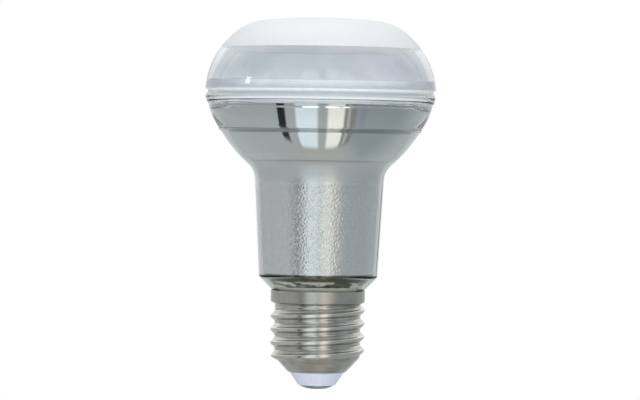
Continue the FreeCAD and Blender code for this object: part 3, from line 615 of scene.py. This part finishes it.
resist = covered_by(
    grain, "white_solder_resist",
    {"Colour": (0.90, 0.90, 0.88, 1), "Tint": (0.86, 0.86, 0.84, 1), "Scale": 1800.0, "Roughness": 0.35,
     "Spread": 0.15, "Relief": 0.2, "Dust": 0.04}, IOR=1.5, Coat_Weight=0.3, Coat_Roughness=0.2)
wear(nodes["led_board"], resist)

phosphor, tree, shader = finish("package_and_phosphor", IOR=1.5)
place = place_on(tree)
specks = mottling(tree, place, 6000.0, 4.0)
package_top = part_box("led_packages")[1].z
sunk = maths(tree, "LESS_THAN", split(tree, place)["Z"], package_top - WINDOW_DEPTH)
facing = split(tree, add(tree, "ShaderNodeNewGeometry").outputs["Normal"])
filled = maths(tree, "MULTIPLY", sunk, maths(tree, "GREATER_THAN", facing["Z"], 0.7))
yellow = mixed(tree, specks, (0.90, 0.62, 0.10, 1), (0.98, 0.80, 0.25, 1))
cup = mixed(tree, specks, (0.86, 0.86, 0.84, 1), (0.93, 0.93, 0.92, 1))
feed(tree, shader, Base_Color=mixed(tree, filled, cup, yellow),
     Roughness=ramp(tree, specks, 0.0, 1.0, 0.3, 0.55),
     Normal=raised(tree, specks, 0.00003, strength=0.3))
wear(nodes["led_packages"], phosphor)

# Board screws
# Two pan-head steel screws, cold-headed and zinc plated. They hold the board of packages and the spreader
# down on the sleeve.

zinc = covered_by(
    grain, "zinc_plate",
    {"Colour": (0.66, 0.67, 0.68, 1), "Tint": (0.50, 0.52, 0.55, 1), "Scale": 3000.0, "Roughness": 0.3,
     "Spread": 0.2, "Relief": 0.3, "Dust": 0.1}, Metallic=1.0)
wear(nodes["board_screws"], zinc)

# Driver board and output pins
# Upright board of green glass-epoxy laminate, whose weave shows through the resist. Two tinned square pins
# run from it up to the board of packages.

laminate, tree, shader = finish("green_laminate", IOR=1.5, Coat_Weight=0.5, Coat_Roughness=0.15)
place = place_on(tree)
warp, weft = [add(tree, "ShaderNodeTexWave", {"Vector": place, "Scale": 900.0, "Distortion": 0.6},
                  bands_direction=side).outputs["Fac"] for side in ("X", "Z")]
weave = maths(tree, "MULTIPLY", warp, weft)
feed(tree, shader, Base_Color=mixed(tree, weave, (0.02, 0.16, 0.06, 1), (0.05, 0.27, 0.10, 1)),
     Roughness=ramp(tree, weave, 0.0, 1.0, 0.3, 0.45),
     Normal=raised(tree, weave, 0.00003, strength=0.2))
wear(nodes["driver_board"], laminate)

pin_tin = covered_by(
    grain, "tinned_pins",
    {"Colour": (0.72, 0.72, 0.71, 1), "Tint": (0.60, 0.60, 0.58, 1), "Scale": 4000.0, "Roughness": 0.28,
     "Spread": 0.2, "Relief": 0.3, "Dust": 0.05}, Metallic=1.0)
wear(nodes["output_pins"], pin_tin)

# Soldered parts
# Can with a black shrink sleeve, ferrite drum, potted yellow box, lacquered resistor and two black chips, all
# soldered to the driver board.

PART_FINISHES = {
    "electrolytic_capacitor": ("black_shrink_sleeve", (0.03, 0.03, 0.035, 1), (0.05, 0.05, 0.055, 1), 0.35),
    "inductor": ("ferrite", (0.10, 0.10, 0.10, 1), (0.06, 0.06, 0.065, 1), 0.6),
    "film_capacitor": ("yellow_potting", (0.80, 0.56, 0.08, 1), (0.72, 0.48, 0.06, 1), 0.4),
    "fuse_resistor": ("resistor_lacquer", (0.20, 0.42, 0.45, 1), (0.16, 0.36, 0.40, 1), 0.45),
    "driver_chip": ("chip_moulding", (0.025, 0.025, 0.027, 1), (0.04, 0.04, 0.042, 1), 0.5),
}
for node_name, (label, colour, tint, roughness) in PART_FINISHES.items():
    part_finish = covered_by(
        grain, label,
        {"Colour": colour, "Tint": tint, "Scale": 3500.0, "Roughness": roughness, "Spread": 0.15,
         "Relief": 0.3, "Dust": 0.06}, IOR=1.5)
    wear(nodes[node_name], part_finish)
wear(nodes["bridge_rectifier"], bpy.data.materials["chip_moulding"])

# Supply leads
# Tinned copper wire, drawn, with fine lines and a dull bloom. One runs up from the eyelet, and the other back
# down to the screw shell.

drawn_tin = covered_by(
    grain, "drawn_tinned_wire",
    {"Colour": (0.68, 0.67, 0.65, 1), "Tint": (0.52, 0.51, 0.49, 1), "Scale": 6000.0, "Roughness": 0.3,
     "Spread": 0.2, "Relief": 0.3, "Dust": 0.08}, Metallic=1.0)
wear(nodes["live_lead"], drawn_tin)
wear(nodes["neutral_lead"], drawn_tin)

# Studio
# Pale floor well under the lamp, and a pale room with a window of soft panes on the camera's side. A small
# bright spot lies far round to the left, and two lamps light the white parts.

FLOOR_DROP = 0.30
FLOOR_HALF = 2.2
WINDOW_DIP = math.radians(20)
TO_WINDOW = (0.0, -math.cos(WINDOW_DIP), -math.sin(WINDOW_DIP))
UP_WINDOW = (0.0, -math.sin(WINDOW_DIP), math.cos(WINDOW_DIP))
TO_SKY = (0.0, 0.62, 0.78)

# Each pane: its sides, its lower and upper end, both as shares of the distance ahead, and its colour.
PANES = [
    ((0.41, 0.80), (-1.55, 1.55), (0.25, 0.245, 0.235)),
    ((0.485, 0.92), (0.20, 1.55), (0.72, 0.70, 0.66)),
    ((-0.50, -0.05), (-1.55, 1.55), (0.78, 0.86, 0.92)),
    ((0.14, 0.485), (-1.55, 1.55), (0.95, 0.93, 0.88)),
    ((0.56, 0.64), (-1.55, 1.55), (0.45, 0.45, 0.43)),
    ((-1.06, -0.78), (-1.40, 0.75), (0.02, 0.02, 0.02)),
    ((0.98, 1.18), (-1.2, 1.4), (0.27, 0.29, 0.33)),
]
PANE_BLUR = (0.035, 0.28)
SKY_START = (0.75, 1.1)
SKY_GAIN = 1.8

# Bright spot: its direction along Y and Z, each as a middle and a half width, and its colour.
SPOT_ROUND = (-0.175, 0.048)
SPOT_HEIGHT = (0.27, 0.06)
SPOT_LIGHT = (8.0, 8.0, 8.0, 1)

floor_mesh = bpy.data.meshes.new("floor")
floor_mesh.from_pydata([(x * FLOOR_HALF, y * FLOOR_HALF, -FLOOR_DROP) for x, y in
                        ((-1, -1), (1, -1), (1, 1), (-1, 1))], [], [(0, 1, 2, 3)])
floor = bpy.data.objects.new("floor", floor_mesh)
scene.collection.objects.link(floor)
floor.visible_glossy = False
floor.visible_transmission = False
paper, tree, shader = finish("pale_paper", Base_Color=(0.93, 0.93, 0.93, 1), Roughness=0.9)
wear(floor, paper)

world = bpy.data.worlds.new("studio")
scene.world = world
world.use_nodes = True
tree = world.node_tree
tree.nodes.clear()
ray = add(tree, "ShaderNodeLightPath").outputs
toward = add(tree, "ShaderNodeTexCoord").outputs["Generated"]
axes = split(tree, toward)
forward = vector_maths(tree, "DOT_PRODUCT", toward, TO_WINDOW)
upward = vector_maths(tree, "DOT_PRODUCT", toward, UP_WINDOW)
ahead = maths(tree, "MAXIMUM", forward, 0.05)
in_front = maths(tree, "GREATER_THAN", forward, 0.06)
aside = maths(tree, "DIVIDE", axes["X"], ahead)
above = maths(tree, "DIVIDE", upward, ahead)
direct = maths(tree, "LESS_THAN", ray["Transmission Depth"], 0.5)
rim = maths(tree, "MULTIPLY", direct, axes["Y"])
skyward = vector_maths(tree, "DOT_PRODUCT", toward, TO_SKY)

# The room: each tone takes over from the last one as its direction is reached.
room = (0.405, 0.43, 0.435, 1)
for value, start, stop, colour in (
        (axes["X"], 0.0, 0.6, (0.29, 0.325, 0.345, 1)),
        (axes["Z"], -0.85, -0.97, (0.42, 0.42, 0.40, 1)),
        (axes["Y"], 0.1, 1.0, (0.46, 0.49, 0.49, 1)),
        (rim, 0.80, 1.0, (0.75, 0.77, 0.79, 1)),
        (skyward, 0.45, 0.80, (0.95, 0.96, 0.97, 1))):
    room = mixed(tree, ramp(tree, value, start, stop, soft=True), room, colour)

# The window: each pane lies over those before it, and its top is brighter, with the sky in it.
sky_part = ramp(tree, above, *SKY_START, soft=True)
for sides, ends, colour in PANES:
    inside = in_front
    for value, (start, stop), blur in ((aside, sides, PANE_BLUR[0]), (above, ends, PANE_BLUR[1])):
        half = (stop - start) / 2
        off = maths(tree, "ABSOLUTE", maths(tree, "SUBTRACT", value, (start + stop) / 2))
        edge = ramp(tree, off, half - blur, half + blur, 1.0, 0.0, soft=True)
        inside = maths(tree, "MULTIPLY", inside, edge)
    pane = mixed(tree, sky_part, (*colour, 1), (*(c * SKY_GAIN for c in colour), 1))
    room = mixed(tree, inside, room, pane)

# The bright spot shows only in sharp reflections that come straight off an outer face.
on_left = maths(tree, "LESS_THAN", axes["X"], 0.0)
far_round = maths(tree, "COMPARE", axes["Y"], *SPOT_ROUND)
high_up = maths(tree, "COMPARE", axes["Z"], *SPOT_HEIGHT)
sharp = maths(tree, "MULTIPLY", ray["Is Singular Ray"], direct)
spot = maths(tree, "MULTIPLY", maths(tree, "MULTIPLY", far_round, high_up),
             maths(tree, "MULTIPLY", on_left, sharp))
room = mixed(tree, spot, room, SPOT_LIGHT)

# What is seen through the glass is a plain pale room, and behind the lamp itself all is white.
unmirrored = maths(tree, "LESS_THAN", ray["Glossy Depth"], 0.5)
through = maths(tree, "MULTIPLY", unmirrored, ray["Is Transmission Ray"])
beyond = mixed(tree, ramp(tree, axes["X"], 0.0, 0.10), (0.69, 0.72, 0.755, 1), (0.62, 0.65, 0.69, 1))
shown = mixed(tree, ray["Is Camera Ray"], mixed(tree, through, room, beyond), (1, 1, 1, 1))
sky = add(tree, "ShaderNodeBackground", {"Color": shown, "Strength": 1.0})
add(tree, "ShaderNodeOutputWorld", {"Surface": sky.outputs[0]})

LAMPS = [
    ("overhead", (0.0, -0.25, 0.95), (0, 0, 0.08), 0.8, 9.0),
    ("front_fill", (0.0, -1.0, -0.1), (0, 0, 0.05), 0.7, 3.5),
]
for label, place, aim, size, power in LAMPS:
    light = bpy.data.lights.new(label, "AREA")
    light.size = size
    light.energy = power
    lamp = bpy.data.objects.new(label, light)
    lamp.location = place
    lamp.rotation_euler = (Vector(aim) - Vector(place)).to_track_quat("-Z", "Y").to_euler()
    lamp.visible_glossy = False
    lamp.visible_transmission = False
    scene.collection.objects.link(lamp)

# Camera
# It stands as high as the bowl and looks a little down at the lamp's middle. It leans, so that the crown tips
# right, as in the photo.

CAMERA_SPOT = Vector((0.00023, -0.818, 0.068))
CAMERA_AIM = Vector((0.00023, 0.0, 0.0514))
CAMERA_LEAN = math.radians(0.82)
SENSOR_WIDTH = 36.0
LENS_LENGTH = 168.75
NEAREST = 0.01

lens = bpy.data.cameras.new("camera")
lens.sensor_width = SENSOR_WIDTH
lens.lens = LENS_LENGTH
lens.clip_start = NEAREST
camera = bpy.data.objects.new("camera", lens)
camera.location = CAMERA_SPOT
look = (CAMERA_AIM - CAMERA_SPOT).to_track_quat("-Z", "Y").to_matrix().to_4x4()
camera.rotation_euler = (look @ Matrix.Rotation(CAMERA_LEAN, 4, "Z")).to_euler()
scene.collection.objects.link(camera)
scene.camera = camera
scene.view_settings.view_transform = "Standard"
